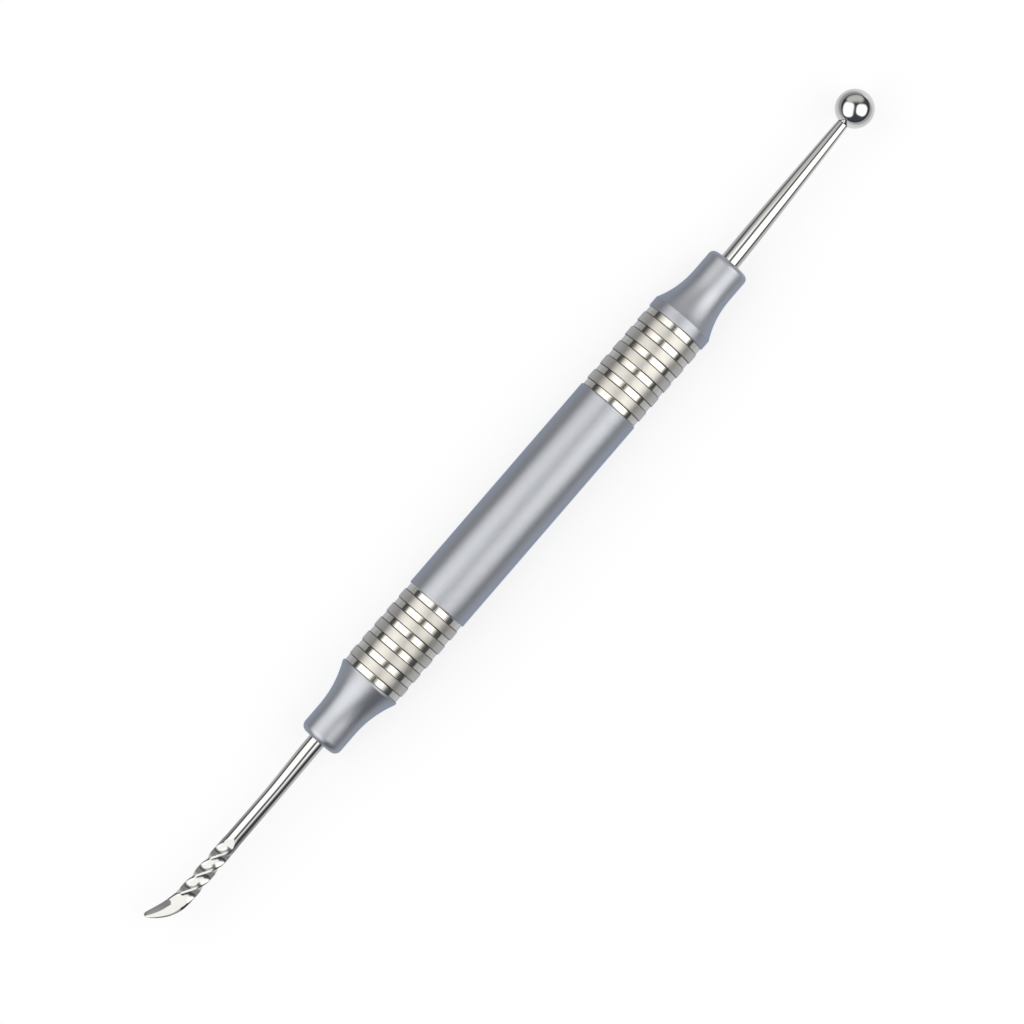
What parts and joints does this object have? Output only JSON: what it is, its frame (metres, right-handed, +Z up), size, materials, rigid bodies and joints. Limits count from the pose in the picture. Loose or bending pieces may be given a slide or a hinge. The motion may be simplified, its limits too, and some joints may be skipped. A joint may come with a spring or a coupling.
{
  "type": "double-ended manicure tool",
  "caption": "Double-ended metal manicure tool with a ribbed round handle, a ball on a tapered shank at one end and a curved blade on a twisted bar at the other.",
  "frame": {"origin": "on the table, under the middle of the tool's overall length and under the handle's axis", "axes": "+X along the handle towards the ball, +Y towards the side that the blade curves to, +Z up from the table that the tool lies on"},
  "size_m": [0.16, 0.0102, 0.0101],
  "materials": {
    "satin_steel": "satin, cool grey",
    "ribbed_steel": "fine turned satin ribs, bright polished grooves",
    "polished_steel": "mirror polished",
    "drawn_steel": "plain drawn rod",
    "ferrule_brass": "plain turned"
  },
  "bodies": {
    "root": {"barrel": "satin_steel", "ball_end_grip": "ribbed_steel", "blade_end_grip": "ribbed_steel", "ball_end_collar": "satin_steel", "blade_end_collar": "satin_steel", "tie_rod": "drawn_steel", "ball_shank_ferrule": "ferrule_brass", "blade_shank_ferrule": "ferrule_brass", "ball_shank": "polished_steel", "ball": "polished_steel", "twisted_blade": "polished_steel"}
  },
  "joints": []
}
